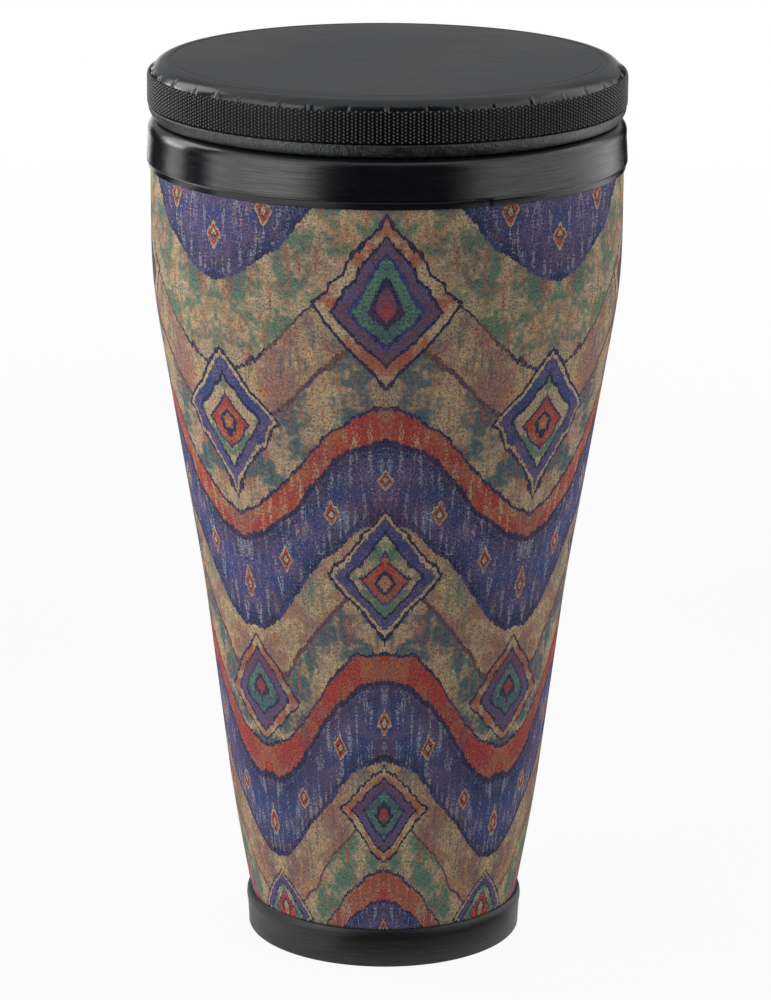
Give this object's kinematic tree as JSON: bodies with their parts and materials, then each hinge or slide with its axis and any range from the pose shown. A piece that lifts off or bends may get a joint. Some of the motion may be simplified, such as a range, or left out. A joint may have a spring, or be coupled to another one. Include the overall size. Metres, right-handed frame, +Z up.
{
  "type": "timbal drum",
  "caption": "Tall tapered hand drum: a fibre tube in printed cloth with a moulded collar and foot ring, and a pretuned webbing-bound head that lifts off.",
  "frame": {"origin": "centre of the foot ring's flat base, on the drum's axis", "axes": "+Z up along the drum's axis to the playing film, -Y towards the picture's viewer, +X to the viewer's right"},
  "size_m": [0.3352, 0.3352, 0.635],
  "materials": {
    "shell_fibre": "matte",
    "printed_cloth": "matte",
    "collar_moulding": "satin",
    "foot_rubber": "satin",
    "playing_film": "matte",
    "hoop_fibre": "matte",
    "black_webbing": "matte",
    "cushion_foam": "matte",
    "ring_plastic": "satin"
  },
  "bodies": {
    "drum_shell": {"shell": "shell_fibre", "fabric_wrap": "printed_cloth", "collar": "collar_moulding", "foot_ring": "foot_rubber"},
    "drum_head": {"head_film": "playing_film", "head_hoop": "hoop_fibre", "webbing_band": "black_webbing", "cushion_ring": "cushion_foam", "centring_ring": "ring_plastic"}
  },
  "joints": [
    {"name": "head_lift", "type": "slide", "parent": "drum_shell", "child": "drum_head", "axis": [0, 0, 1], "range_m": [0, 0.1]}
  ]
}
